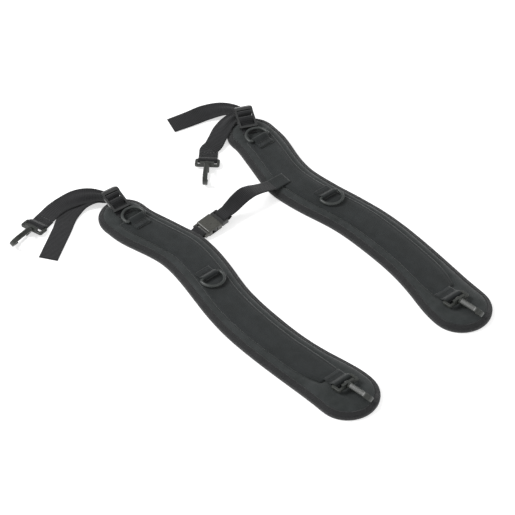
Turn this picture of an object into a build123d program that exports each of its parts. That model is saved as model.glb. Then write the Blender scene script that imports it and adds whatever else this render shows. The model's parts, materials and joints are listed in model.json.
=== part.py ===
"""Padded shoulder straps for a tool belt, laid out flat.

Two mirrored contoured pads are joined across the chest by a sternum strap with a
side-release buckle. Each pad carries two D-rings, a swivelling snap hook at its lower
end, and a ladder lock at its upper end whose webbing ends in a second snap hook.

+Z is up and the pads rest on Z = 0. +Y runs along the pads towards the ladder locks,
and +X runs from the left pad to the right pad. All sizes are in millimetres.
"""

import os

from build123d import *

os.makedirs("parts", exist_ok=True)

# --- Placing of the two halves -------------------------------------------------------
HARNESS = Plane(origin=(55.34, -40.75, 0))  # origin midway between the pads
RIGHT_SHIFT = (-3, 17)  # the right pad lies further along Y than the left one
RIGHT_TURN = -1  # degrees about Z

# --- Pad -------------------------------------------------------------------------------
# Edge points as (distance outboard of the centreline, distance along the pad).
OUTER_EDGE = [(145.4, -205), (148, -150), (152.3, -70), (151.6, -30), (146.8, 10), (139, 50),
              (132.3, 90), (131.2, 112), (138, 148), (147.2, 185), (148.3, 212)]
INNER_EDGE = [(65, -205), (73.9, -150), (80.8, -110), (83, -50), (78.5, 10), (69.2, 50),
              (62.3, 90), (61.4, 112), (67.5, 145), (78.5, 190), (81.5, 212)]
MIDLINE = [(106, -176), (111, -150), (115.5, -110), (117.4, -50), (112.7, 10), (104, 50),
           (97.4, 90), (96.6, 112), (103.5, 148), (111, 180), (113.8, 199)]
LOWER_TIP = -245.2
UPPER_TIP = 245.4
SIDE_WALL = 1.3  # thickness of the binding tape round the rim
BINDING_WIDTH = 7.3
LINING_RIM = 2.0
FOAM_RIM = 5.2
FOAM_CROWN = 11.0
SKIN = 0.9
CROWN_INSET = 16  # how far inside the rim the pad reaches its full height
PAD_TOP = FOAM_CROWN + SKIN
STRIP_WIDTH = 38
STRIP_END_WIDTH = 30
STRIP_THICK = 1.6
STRIP_TOP = PAD_TOP + STRIP_THICK

# --- Webbing ---------------------------------------------------------------------------
WEB = 1.3  # thickness of one ply
STRAP_WIDTH = 25
LOCK_WEB_WIDTH = 18.6

# --- D-rings ---------------------------------------------------------------------------
RING_WIRE = 2.0
RING_HALF = 15.0  # half the width, to the centre of the wire
RING_DEPTH = 20.0
RING_TAB_WIDTH = 22
RING_TAB_LEG = 16
RING_CLEAR = 0.06

# --- Snap hooks ------------------------------------------------------------------------
FRAME_HALF = 16.5
FRAME_BAR = 3.8
FRAME_THICK = 3.6
FRAME_FRONT = 13.4
SWIVEL_UP = 1.8  # swivel axis above the frame's mid plane
PIN_R = 2.1
HOOK_THICK = 6.5
NOSE_R = 8.6
SEAT_R = 4.7
NOSE_Y = 44
NOSE_END_Y = NOSE_Y - 5  # where the nose stops and the gate closes it
ROOT_LOW = -6.9
GATE_PIVOT = (18.2, -5.0)
GATE_R = 1.9
GATE_PIN_R = 0.9
FOLD_BAR_R = 2.4  # inside radius of a webbing fold round a square bar
HOOK_LEG = 18
LOWER_LEG = 16.5
LOWER_PITCH = 9  # how far each hook stands up from its webbing
STRAP_PITCH = 7
LOWER_ROLL = 34  # how far each hook has swivelled
STRAP_ROLL = {"left": -30, "right": 0}

# --- Ladder lock -----------------------------------------------------------------------
LOCK_HALF = 12.5
LOCK_INNER = 9.5
LOCK_PITCH = 15
LOCK_AHEAD = 13.2  # from the sewn end of the loop to the lock's first bar
LOCK_RISE = 8.9
GRIP_BAR_Y = 9.0
LOCK_FOOT_Y = -14.7
LOCK_LIP_Y = 21.8
LOCK_CORNER = 7.5

# --- Sternum buckle --------------------------------------------------------------------
BUCKLE_AT = (-58.2, 126, 5.7)
BUCKLE_PITCH = 8  # how far the buckle stands up from its anchor
BUCKLE_HALF = 13
SHELL_HALF = 4.7
CAVITY_HALF = 10.3
CAVITY_Z = 2.9
SHELL_Y = 4.4  # the shell runs from here to the mouth
MOUTH_Y = 26.5
PLUG_BAR_Y = 36.0
BUCKLE_BAR_R = 1.9
ANCHOR_LEG = 16  # how far the anchor webbing runs back, mostly inside the pad's rim
STERNUM_WIDTH = 20

RIGHT = Plane(HARNESS * Location((*RIGHT_SHIFT, 0), (0, 0, RIGHT_TURN)))


def save(piece, name):
    """Label a finished piece and write it to its own file."""
    piece.label = name
    export_step(piece, f"parts/{name}.step")


def side_view(frame):
    """The plane that shows a frame from its side: x forward, y up, normal across."""
    return Plane(origin=frame.origin, x_dir=frame.y_dir, z_dir=frame.x_dir)


def heading(base, point, yaw, pitch=0):
    """A frame at a point of base: Y turned yaw degrees about Z, then tipped up by pitch."""
    turned = Plane(base * Location(point, (0, 0, yaw)))
    return Plane(turned * Location((0, 0, 0), (pitch, 0, 0)))


# --- Pads ------------------------------------------------------------------------------
def pad_edge(out, inset):
    """The pad's outline, moved in by inset; out is -1 for the left pad, +1 for the right."""
    outer = [(out * (x - inset), y) for x, y in OUTER_EDGE]
    inner = [(out * (x + inset), y) for x, y in INNER_EDGE]
    low_x = (outer[0][0] + inner[0][0]) / 2
    high_x = (outer[-1][0] + inner[-1][0]) / 2
    with BuildLine() as edge:
        Spline(outer, tangents=[(0, 1), (0, 1)])
        Spline(inner, tangents=[(0, 1), (0, 1)])
        ThreePointArc(outer[0], (low_x, LOWER_TIP + inset), inner[0])
        ThreePointArc(outer[-1], (high_x, UPPER_TIP - inset), inner[-1])
    return edge.edges()


def dome(plane, out, inset, base, rim, crown):
    """A slab with an upright rim and a top that rises to a crown inside the rim."""
    low = pad_edge(out, inset)
    high = pad_edge(out, CROWN_INSET)
    with BuildPart() as solid:
        with BuildSketch(plane.offset(base)):
            make_face(low)
        extrude(amount=rim - base)
        with BuildSketch(plane.offset(rim)):
            make_face(low)
        with BuildSketch(plane.offset(crown)):
            make_face(high)
        loft()
    return solid.part


def anchor_slot(frame):
    """The room that the sternum anchor takes inside the left pad's rim."""
    outer = BUCKLE_BAR_R + 0.1 + WEB
    with BuildPart() as slot:
        with BuildSketch(frame.offset(-outer - 0.02)):
            with Locations((0, -ANCHOR_LEG / 2)):
                Rectangle(STERNUM_WIDTH + 0.1, ANCHOR_LEG + 0.1)
        extrude(amount=2 * WEB + 0.04)
    return slot.part


def make_pad(side, plane, out, slot=None):
    tucked = pad_edge(out, BINDING_WIDTH)
    rim = pad_edge(out, SIDE_WALL)
    under_lip = 1.1
    with BuildPart() as lining:
        with BuildSketch(plane):
            make_face(tucked)
        extrude(amount=under_lip)
        with BuildSketch(plane.offset(under_lip)):
            make_face(rim)
        extrude(amount=LINING_RIM - under_lip)
    save(lining.part, f"{side}_pad_lining")

    with BuildPart() as foam:
        add(dome(plane, out, SIDE_WALL, LINING_RIM, FOAM_RIM, FOAM_CROWN))
        if slot:
            add(slot, mode=Mode.SUBTRACT)
    save(foam.part, f"{side}_pad_foam")

    with BuildPart() as cover:
        add(dome(plane, out, SIDE_WALL, LINING_RIM, FOAM_RIM + SKIN, PAD_TOP))
        add(dome(plane, out, SIDE_WALL, LINING_RIM, FOAM_RIM, FOAM_CROWN), mode=Mode.SUBTRACT)
    save(cover.part, f"{side}_pad_cover")

    lip = 0.8
    with BuildPart() as binding:
        add(dome(plane, out, 0, under_lip - lip, FOAM_RIM + SKIN + lip, PAD_TOP + lip))
        add(dome(plane, out, SIDE_WALL, under_lip, FOAM_RIM + SKIN, PAD_TOP), mode=Mode.SUBTRACT)
        with BuildSketch(plane):
            make_face(tucked)
        extrude(amount=2 * PAD_TOP, mode=Mode.SUBTRACT)
        if slot:
            add(slot, mode=Mode.SUBTRACT)
    save(binding.part, f"{side}_edge_binding")

    with BuildPart() as strip:
        with BuildSketch(plane.offset(PAD_TOP)):
            with BuildLine():
                half = STRIP_WIDTH / 2
                ends = [STRIP_END_WIDTH / 2] + [half] * (len(MIDLINE) - 1)
                outer = [(out * (x + w), y) for (x, y), w in zip(MIDLINE, ends)]
                inner = [(out * (x - w), y) for (x, y), w in zip(MIDLINE, ends)]
                Spline(outer)
                Spline(inner)
                Line(outer[0], inner[0])
                Line(outer[-1], inner[-1])
            make_face()
        extrude(amount=STRIP_THICK)
    save(strip.part, f"{side}_center_strip")


# --- Webbing ---------------------------------------------------------------------------
def fold(frame, width, bar_r, leg, taper=2.4):
    """Webbing folded round a bar on the frame's X axis, with two plies going back along -Y.

    The plies meet at taper times the fold's outer radius behind the bar."""
    outer = bar_r + WEB
    ply_top = 2 * WEB - outer
    with BuildPart() as loop:
        with BuildSketch(side_view(frame)):
            Circle(outer)
            if leg > outer:
                with BuildLine():
                    Polyline((0, outer), (-min(taper * outer, leg - 0.5), ply_top), (-leg, ply_top),
                             (-leg, -outer), (0, -outer), close=True)
                make_face()
            Circle(bar_r, mode=Mode.SUBTRACT)
        extrude(amount=width / 2, both=True)
    return loop.part


def ribbon(points, widths, thickness=WEB):
    """A flat strip through points, each with its own width, whose width lies level."""
    path = [Vector(*p) for p in points]
    with BuildPart() as strip:
        for i, (point, width) in enumerate(zip(path, widths)):
            along = path[min(i + 1, len(path) - 1)] - path[max(i - 1, 0)]
            across = Vector(-along.Y, along.X, 0)
            with BuildSketch(Plane(origin=point, x_dir=across, z_dir=along)):
                Rectangle(width, thickness)
        loft(ruled=True)
    return strip.part


def in_row(points):
    """Points given from midway between the pads, in the row's own frame."""
    return [tuple(HARNESS.from_local_coords(p)) for p in points]


# --- D-rings ---------------------------------------------------------------------------
def make_ring(name, frame):
    """A D-ring hinged in a sewn tab; frame has X on the straight bar, Y towards the bow."""
    corner = 3
    shoulder = 5
    with BuildPart() as ring:
        with BuildLine(frame) as wire:
            Line((-RING_HALF + corner, 0), (RING_HALF - corner, 0))
            RadiusArc((RING_HALF - corner, 0), (RING_HALF, corner), -corner)
            Line((RING_HALF, corner), (RING_HALF, shoulder))
            ThreePointArc((RING_HALF, shoulder), (0, RING_DEPTH), (-RING_HALF, shoulder))
            Line((-RING_HALF, shoulder), (-RING_HALF, corner))
            RadiusArc((-RING_HALF, corner), (-RING_HALF + corner, 0), -corner)
        with BuildSketch(side_view(frame)):
            Circle(RING_WIRE)
        sweep(path=wire.wires()[0])
    save(ring.part, f"{name}_ring")
    save(fold(frame, RING_TAB_WIDTH, RING_WIRE + RING_CLEAR, RING_TAB_LEG), f"{name}_ring_tab")


# --- Snap hooks ------------------------------------------------------------------------
def swivelled(frame, roll):
    """The frame of a hook's body, turned about its swivel pin by roll."""
    return Plane(frame.offset(SWIVEL_UP) * Location((0, 0, 0), (0, roll, 0)))


def make_hook(name, level, pitch, roll):
    """A swivelling snap hook, tipped up by pitch; level has X on its webbing bar, Y forward."""
    frame = heading(level, (0, 0, 0), 0, pitch)
    half_bar = FRAME_BAR / 2
    swivel = swivelled(frame, roll)
    end_on = Plane(origin=swivel.origin, x_dir=frame.x_dir, z_dir=-frame.y_dir)
    front_back = FRAME_FRONT - FRAME_BAR

    with BuildPart() as loop:
        with BuildSketch(frame.offset(-FRAME_THICK / 2)):
            with Locations((0, (FRAME_FRONT - half_bar) / 2)):
                RectangleRounded(2 * FRAME_HALF, FRAME_FRONT + half_bar, 3)
            with Locations((0, (half_bar + front_back) / 2)):
                Rectangle(2 * (FRAME_HALF - 3.6), front_back - half_bar, mode=Mode.SUBTRACT)
        extrude(amount=FRAME_THICK)
        fillet(loop.edges().filter_by(Axis((0, 0, 0), tuple(frame.x_dir))), 0.8)
        with BuildSketch(frame):
            with Locations((0, FRAME_FRONT - half_bar)):
                RectangleRounded(19, FRAME_BAR, 1.2)
        extrude(amount=5.4)
        with BuildSketch(end_on):
            Circle(PIN_R + 0.08)
        extrude(amount=-2 * FRAME_FRONT, mode=Mode.SUBTRACT)
    save(loop.part, f"{name}_frame")

    with BuildPart() as body:
        with BuildSketch(side_view(swivel)):
            with BuildLine():
                Line((NOSE_END_Y, -SEAT_R), (NOSE_END_Y, -NOSE_R))
                Line((NOSE_END_Y, -NOSE_R), (NOSE_Y, -NOSE_R))
                ThreePointArc((NOSE_Y, -NOSE_R), (NOSE_Y + NOSE_R, 0), (NOSE_Y, NOSE_R))
                Polyline((NOSE_Y, NOSE_R), (20, 7.4), (13.8, 3.6), (13.8, -4.5), (16, ROOT_LOW),
                         (20.6, ROOT_LOW), (20.6, 1.5), (22.8, SEAT_R - 0.3), (NOSE_Y, SEAT_R))
                ThreePointArc((NOSE_Y, SEAT_R), (NOSE_Y + SEAT_R, 0), (NOSE_Y, -SEAT_R))
                Line((NOSE_Y, -SEAT_R), (NOSE_END_Y, -SEAT_R))
            make_face()
        extrude(amount=HOOK_THICK / 2, both=True)
        fillet(body.edges().filter_by(GeomType.CIRCLE), 0.9)
        # Groove along the spine between its two ribs
        with BuildSketch(swivel.offset(NOSE_R - 1.3)):
            with Locations((0, (NOSE_Y + 18) / 2)):
                SlotOverall(NOSE_Y - 18, 2.4, rotation=90)
        extrude(amount=4, mode=Mode.SUBTRACT)
        # Slot for the gate's root
        with BuildSketch(side_view(swivel)):
            with Locations(GATE_PIVOT):
                Circle(GATE_R + 0.35)
            with Locations((GATE_PIVOT[0] + 2, GATE_PIVOT[1])):
                Rectangle(4, 2 * GATE_R + 3.4)
            with Locations((GATE_PIVOT[0], GATE_PIVOT[1] - 2)):
                Rectangle(2 * GATE_R + 0.7, 4)
        extrude(amount=1.85, both=True, mode=Mode.SUBTRACT)
        with BuildSketch(side_view(swivel)):
            with Locations(GATE_PIVOT):
                Circle(GATE_PIN_R)
        extrude(amount=HOOK_THICK, both=True, mode=Mode.SUBTRACT)
        # Swivel pin and its head inside the frame
        with BuildSketch(end_on.offset(-14)):
            Circle(PIN_R)
        extrude(amount=6)
        with BuildSketch(end_on.offset(-9.3)):
            Circle(3.4)
        extrude(amount=1.4)
    save(body.part, f"{name}_body")

    gate_end = NOSE_END_Y - 0.6
    with BuildPart() as gate:
        with BuildSketch(side_view(swivel)):
            with BuildLine():
                Polyline(GATE_PIVOT, (GATE_PIVOT[0] + 0.5, GATE_PIVOT[1] + 1.8), (gate_end, -4.9),
                         (gate_end, -8), (GATE_PIVOT[0] + 0.5, GATE_PIVOT[1] - 1.8), close=True)
            make_face()
            with Locations(GATE_PIVOT):
                Circle(GATE_R)
                Circle(GATE_PIN_R + 0.06, mode=Mode.SUBTRACT)
        extrude(amount=1.5, both=True)
    save(gate.part, f"{name}_gate")

    with BuildPart() as pin:
        with BuildSketch(side_view(swivel)):
            with Locations(GATE_PIVOT):
                Circle(GATE_PIN_R)
        extrude(amount=HOOK_THICK / 2, both=True)
    save(pin.part, f"{name}_gate_pin")


# --- Ladder lock and its webbing -------------------------------------------------------
def make_lock(side, frame, flat):
    """A ladder lock; frame has X on the bar that the sewn loop goes round, Y to the lip."""
    with BuildPart() as lock:
        with BuildSketch(side_view(frame)):
            with BuildLine():
                Polyline((LOCK_FOOT_Y, -1.6), (13, -1.6), (17, -2.0), (20.2, -4.6),
                         (LOCK_LIP_Y, -3.4), (20.6, 0.2), (17.6, 2.4), (13.6, 2.9), (10, 1.6),
                         (LOCK_FOOT_Y, 1.6), close=True)
            make_face()
        extrude(amount=LOCK_HALF, both=True)
        with BuildSketch(frame.offset(-6)) as outline:
            with Locations((0, (LOCK_FOOT_Y + LOCK_LIP_Y) / 2)):
                Rectangle(2 * LOCK_HALF, LOCK_LIP_Y - LOCK_FOOT_Y)
            fillet(outline.vertices().group_by(Axis.Y)[-1], LOCK_CORNER)
        extrude(amount=14, mode=Mode.INTERSECT)
        with BuildSketch(frame.offset(-6)):
            for low, high in [(-11.3, -1.7), (1.7, 7.4), (10.6, 13.0)]:
                with Locations((0, (low + high) / 2)):
                    Rectangle(2 * LOCK_INNER, high - low)
        extrude(amount=14, mode=Mode.SUBTRACT)
        bar_edges = lock.edges().filter_by(Axis((0, 0, 0), tuple(frame.x_dir)))
        fillet([e for e in bar_edges if frame.to_local_coords(e.center()).Y < GRIP_BAR_Y], 0.5)
    save(lock.part, f"{side}_ladder_lock")

    under_bar = -2.2
    with BuildPart() as loop:
        with BuildSketch(side_view(frame)):
            Circle(2.4 + WEB)
            with BuildLine():
                Polyline((0, 2.4 + WEB), (-8, under_bar), (-13.8, under_bar),
                         (-13.8, under_bar - 2 * WEB), (-5, under_bar - 2 * WEB),
                         (0, -2.4 - WEB), close=True)
            make_face()
            Circle(2.4, mode=Mode.SUBTRACT)
        extrude(amount=LOCK_WEB_WIDTH / 2, both=True)
    save(loop.part, f"{side}_adjuster_loop")

    with BuildPart() as tab:
        with BuildSketch(flat):
            with Locations((0, -5.9)):
                Rectangle(LOCK_WEB_WIDTH, 10.2)
        extrude(amount=2 * WEB - 0.3)
    save(tab.part, f"{side}_adjuster_tab")

    thread_bar = heading(frame, (0, GRIP_BAR_Y, 0), 0)
    with BuildPart() as thread:
        with BuildSketch(side_view(thread_bar)):
            Circle(2.4 + WEB)
            with Locations((0, -3.2)):
                Rectangle(2 * (2.4 + WEB), 6.4)
            Circle(2.4, mode=Mode.SUBTRACT)
            with Locations((0, -2)):
                Rectangle(2 * 2.4, 4, mode=Mode.SUBTRACT)
        extrude(amount=LOCK_WEB_WIDTH / 2 - 0.3, both=True)
    save(thread.part, f"{side}_threaded_webbing")


def make_straps(side, hook, hook_points, tail_points):
    """The free webbing below a ladder lock: the strap to its hook, and the loose tail."""
    leg_end = hook.from_local_coords((0, -HOOK_LEG + 1, -FOLD_BAR_R))
    with BuildPart() as straps:
        add(ribbon(in_row(hook_points) + [tuple(leg_end)],
                   [18.5, 22, STRAP_WIDTH, STRAP_WIDTH - 0.2]))
        add(fold(hook, STRAP_WIDTH, FOLD_BAR_R, HOOK_LEG))
        add(ribbon(in_row(tail_points), [18, 22, 24.5, 24]))
    save(straps.part, f"{side}_adjuster_webbing")


# --- Sternum strap ---------------------------------------------------------------------
def make_buckle(level, frame):
    """A side-release buckle; frame has X on the socket's webbing bar, Y towards the plug.

    Its anchor webbing runs back along level, which shares the frame's bar."""
    save(fold(level, STERNUM_WIDTH, BUCKLE_BAR_R + 0.1, ANCHOR_LEG, 1.05),
         "sternum_anchor_loop")

    with BuildPart() as socket:
        with BuildSketch(frame.offset(-SHELL_HALF)):
            with Locations((0, (MOUTH_Y + SHELL_Y) / 2)):
                RectangleRounded(2 * BUCKLE_HALF, MOUTH_Y - SHELL_Y, 1.6)
        extrude(amount=2 * SHELL_HALF)
        fillet(socket.edges().filter_by(Axis((0, 0, 0), tuple(frame.y_dir))), 2.2)
        rail = BUCKLE_HALF - 0.3 - CAVITY_HALF
        with BuildSketch(frame.offset(-BUCKLE_BAR_R)):
            with Locations((CAVITY_HALF + rail / 2, 3), (-CAVITY_HALF - rail / 2, 3)):
                Rectangle(rail, 6 + BUCKLE_BAR_R)
        extrude(amount=2 * BUCKLE_BAR_R)
        with BuildSketch(side_view(frame)):
            Circle(BUCKLE_BAR_R)
        extrude(amount=CAVITY_HALF + rail, both=True)
        with BuildSketch(side_view(frame)):
            with Locations(((8.4 + MOUTH_Y + 1) / 2, 0)):
                Rectangle(MOUTH_Y + 1 - 8.4, 2 * CAVITY_Z)
        extrude(amount=CAVITY_HALF, both=True, mode=Mode.SUBTRACT)
        with BuildSketch(side_view(frame)):
            with Locations((14.6, 0)):
                RectangleRounded(9.4, 2 * CAVITY_Z, 1)
        extrude(amount=BUCKLE_HALF + 1, both=True, mode=Mode.SUBTRACT)
    save(socket.part, "sternum_socket")

    front = MOUTH_Y + 0.4
    with BuildPart() as plug:
        with BuildSketch(frame.offset(-2.5)):
            with Locations((0, (front + PLUG_BAR_Y + BUCKLE_BAR_R) / 2)):
                RectangleRounded(2 * BUCKLE_HALF - 1, PLUG_BAR_Y + BUCKLE_BAR_R - front, 1.4)
            with Locations((0, (front + 4.4 + PLUG_BAR_Y + 5) / 2)):
                Rectangle(2 * CAVITY_HALF, PLUG_BAR_Y + 5 - front - 4.4, mode=Mode.SUBTRACT)
        extrude(amount=5)
        with BuildSketch(Plane(side_view(frame) * Location((PLUG_BAR_Y, 0, 0)))):
            Circle(BUCKLE_BAR_R)
        extrude(amount=CAVITY_HALF + 1, both=True)
        with BuildSketch(frame.offset(-2.1)):
            with Locations((0, (front + 0.5 + 12) / 2)):
                Rectangle(6, front + 0.5 - 12)
        extrude(amount=4.2)
    save(plug.part, "sternum_plug")

    for name, out in [("left", -1), ("right", 1)]:
        with BuildPart() as prong:
            with BuildSketch(frame.offset(-2.2)):
                with BuildLine():
                    Polyline([(out * x, y) for x, y in [
                        (6.0, MOUTH_Y), (9.0, MOUTH_Y), (9.2, 19.0), (12.4, 18.6), (12.7, 15.6),
                        (9.8, 11.4), (6.4, 11.4), (6.0, 18.0)]], close=True)
                make_face()
            extrude(amount=4.4)
        save(prong.part, f"sternum_{name}_prong")


def make_sternum(buckle):
    plug_bar = heading(buckle, (0, PLUG_BAR_Y, 0), 180)
    leg = 6
    leg_end = plug_bar.from_local_coords((0, -leg + 0.6, -BUCKLE_BAR_R - 0.1))
    arch = [(-8, 126, 16), (6, 127, 25), (22, 128, 29.5), (38, 127, 26.5), (52, 126, 18.5),
            (65, 126, 11.6)]
    with BuildPart() as strap:
        add(fold(plug_bar, STERNUM_WIDTH, BUCKLE_BAR_R + 0.1, leg))
        add(ribbon([tuple(leg_end)] + in_row(arch), [STERNUM_WIDTH - 0.2] * (len(arch) + 1)))
    save(strap.part, "sternum_strap")

    on_strip = STRIP_TOP + WEB / 2 + 0.3
    sewn = [(67.3, 126, 11.9), (77, 125.4, on_strip), (87, 124.8, on_strip)]
    save(ribbon(in_row(sewn), [STERNUM_WIDTH] * 3), "sternum_sewn_end")


# --- Assembly --------------------------------------------------------------------------
anchor_frame = Plane(origin=HARNESS.from_local_coords(BUCKLE_AT), x_dir=(0, -1, 0), z_dir=(0, 0, 1))
buckle_frame = heading(anchor_frame, (0, 0, 0), 0, BUCKLE_PITCH)
ring_z = STRIP_TOP + RING_WIRE + RING_CLEAR + WEB
hook_z = PAD_TOP + FOLD_BAR_R + WEB
floor_hook_z = FOLD_BAR_R + WEB + 0.3

frames = {}
for side, plane, out in [("left", HARNESS, -1), ("right", RIGHT, 1)]:
    frames[side] = {
        "upper_ring": heading(plane, (out * 111, 191, ring_z), 0),
        "middle_ring": heading(plane, (out * 108, 47, ring_z), 180),
        "lower_hook": heading(plane, (out * 103, -193, hook_z), 180),
    }
frames["left"]["strap_hook"] = heading(HARNESS, (-209, 274, floor_hook_z), 106)
frames["right"]["strap_hook"] = heading(HARNESS, (38, 226.5, floor_hook_z), 136)
# Where each sewn loop leaves the pad, level and turned like its ladder lock
frames["left"]["lock_base"] = heading(HARNESS, (-114.8, 215.8, PAD_TOP), -5)
frames["right"]["lock_base"] = heading(HARNESS, (113.7, 231.4, PAD_TOP), -25)
for at in frames.values():
    at["lock"] = heading(at["lock_base"], (0, LOCK_AHEAD, LOCK_RISE), 0, LOCK_PITCH)

STRAP_ROUTES = {
    "left": {
        "hook": [(-114.8, 247.6, 14.3), (-132, 265, 10.5), (-156, 276, 5)],
        "tail": [(-114.2, 247.8, 14.1), (-135, 266, 5.5), (-163, 266, 1.3), (-234, 216, 1.0)],
    },
    "right": {
        "hook": [(125.6, 259.2, 14.4), (108, 264, 12.5), (80, 256, 8)],
        "tail": [(126.2, 259.8, 14.2), (120, 286, 9.5), (95, 304, 3), (48, 315, 1.0)],
    },
}

for side, plane, out in [("left", HARNESS, -1), ("right", RIGHT, 1)]:
    at = frames[side]
    make_pad(side, plane, out, anchor_slot(anchor_frame) if side == "left" else None)
    make_ring(f"{side}_upper", at["upper_ring"])
    make_ring(f"{side}_middle", at["middle_ring"])
    save(fold(at["lower_hook"], STRAP_WIDTH, FOLD_BAR_R, LOWER_LEG), f"{side}_lower_hook_loop")
    make_hook(f"{side}_lower_hook", at["lower_hook"], LOWER_PITCH, LOWER_ROLL)
    make_lock(side, at["lock"], at["lock_base"])
    make_straps(side, at["strap_hook"], STRAP_ROUTES[side]["hook"], STRAP_ROUTES[side]["tail"])
    make_hook(f"{side}_strap_hook", at["strap_hook"], STRAP_PITCH, STRAP_ROLL[side])

make_buckle(anchor_frame, buckle_frame)
make_sternum(buckle_frame)
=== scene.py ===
"""Looks of the padded tool-belt shoulder straps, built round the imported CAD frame."""

import json
import math

import bpy
import numpy as np
from mathutils import Matrix, Vector, noise


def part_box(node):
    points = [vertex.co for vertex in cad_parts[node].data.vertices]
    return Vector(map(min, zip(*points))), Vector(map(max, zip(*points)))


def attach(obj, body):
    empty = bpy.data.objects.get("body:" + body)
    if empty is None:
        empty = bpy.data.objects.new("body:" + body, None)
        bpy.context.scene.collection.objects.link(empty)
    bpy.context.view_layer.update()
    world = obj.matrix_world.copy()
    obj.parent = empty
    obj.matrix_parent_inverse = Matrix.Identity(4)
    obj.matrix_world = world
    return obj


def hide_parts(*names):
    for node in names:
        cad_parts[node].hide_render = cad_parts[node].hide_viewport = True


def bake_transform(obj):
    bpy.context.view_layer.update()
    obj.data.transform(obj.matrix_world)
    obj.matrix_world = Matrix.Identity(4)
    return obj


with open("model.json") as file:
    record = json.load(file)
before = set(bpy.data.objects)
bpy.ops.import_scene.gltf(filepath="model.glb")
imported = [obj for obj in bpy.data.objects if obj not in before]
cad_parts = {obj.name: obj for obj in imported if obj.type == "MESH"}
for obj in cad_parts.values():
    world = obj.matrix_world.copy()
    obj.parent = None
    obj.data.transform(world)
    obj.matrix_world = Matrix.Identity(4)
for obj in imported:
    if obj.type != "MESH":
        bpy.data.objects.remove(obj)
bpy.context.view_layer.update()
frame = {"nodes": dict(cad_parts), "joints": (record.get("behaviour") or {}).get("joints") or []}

MM = 0.001
JOINTS = {joint["name"]: joint for joint in frame["joints"]}
NODES = frame["nodes"]

# Sizes of the harness, in millimetres, as in the part's source
STERNUM_Y = 126  # how far up the pads the sternum strap lies
BUCKLE_AT = Vector((-58.2, STERNUM_Y, 5.7))  # the socket's bar, from midway between the pads
BUCKLE_PITCH = 8
PLUG_BAR_Y = 36  # the plug's bar, ahead of the socket's bar
WEB = 1.3  # thickness of one ply of webbing
PLY_GAP = WEB + 0.05  # between the middles of two plies that are sewn together
RIM_LOW = 0.3
PAD_TOP = 11.9
BINDING_WIDTH = 7.3
LOCK_PITCH = 15
LOCK_AT = Vector((0, 13.5, 3.5))  # the bar that the sewn loop holds, from the lift axis
LOCK_BAR_GAP = 9  # from that bar to the one that the strap is threaded over
STRAP_WIDTH = 25
LOCK_WEB_WIDTH = 18.4
STERNUM_WIDTH = 20
RING_TAB_WIDTH = 22
RING_TAB_LEG = 16
LOWER_LEG = 16.5
STRAP_LEG = 18

# Inside radius of the webbing round each kind of bar
RING_BAR_R = 2.06
HOOK_BAR_R = 2.4
LOCK_BAR_R = 2.4
BUCKLE_BAR_R = 2.0

# Sizes of what is only seen, in millimetres
CUSHION_TOP = PAD_TOP - 0.5
RIM_SEAM = 5.7  # from the rim in to the binding's seam
STRIP_SEAM = 3.0  # from the strip's edge in to its seam
STITCH = 2.5
STITCH_GAP = 1.1
THREAD_R = 0.2
MESH_CELL = 2.6

ORIGIN = Vector(JOINTS["sternum_socket_swing"]["pos_m"]) / MM - BUCKLE_AT


# --- Camera -------------------------------------------------------------------------------
CAMERA_AT = Vector((-1404.25, -1548.98, 2033.27))  # in millimetres, from midway between the pads
CAMERA_LOOK = Vector((0.4695, 0.5450, -0.6947))
CAMERA_LENS = 160.8


def add_camera():
    camera = bpy.data.objects.new("camera", bpy.data.cameras.new("camera"))
    bpy.context.scene.collection.objects.link(camera)
    camera.location = (ORIGIN + CAMERA_AT) * MM
    camera.rotation_euler = CAMERA_LOOK.to_track_quat("-Z", "Y").to_euler()
    camera.data.lens = CAMERA_LENS
    camera.data.sensor_width = 36
    camera.data.clip_start = 0.05
    camera.data.clip_end = 50
    bpy.context.scene.camera = camera


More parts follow.
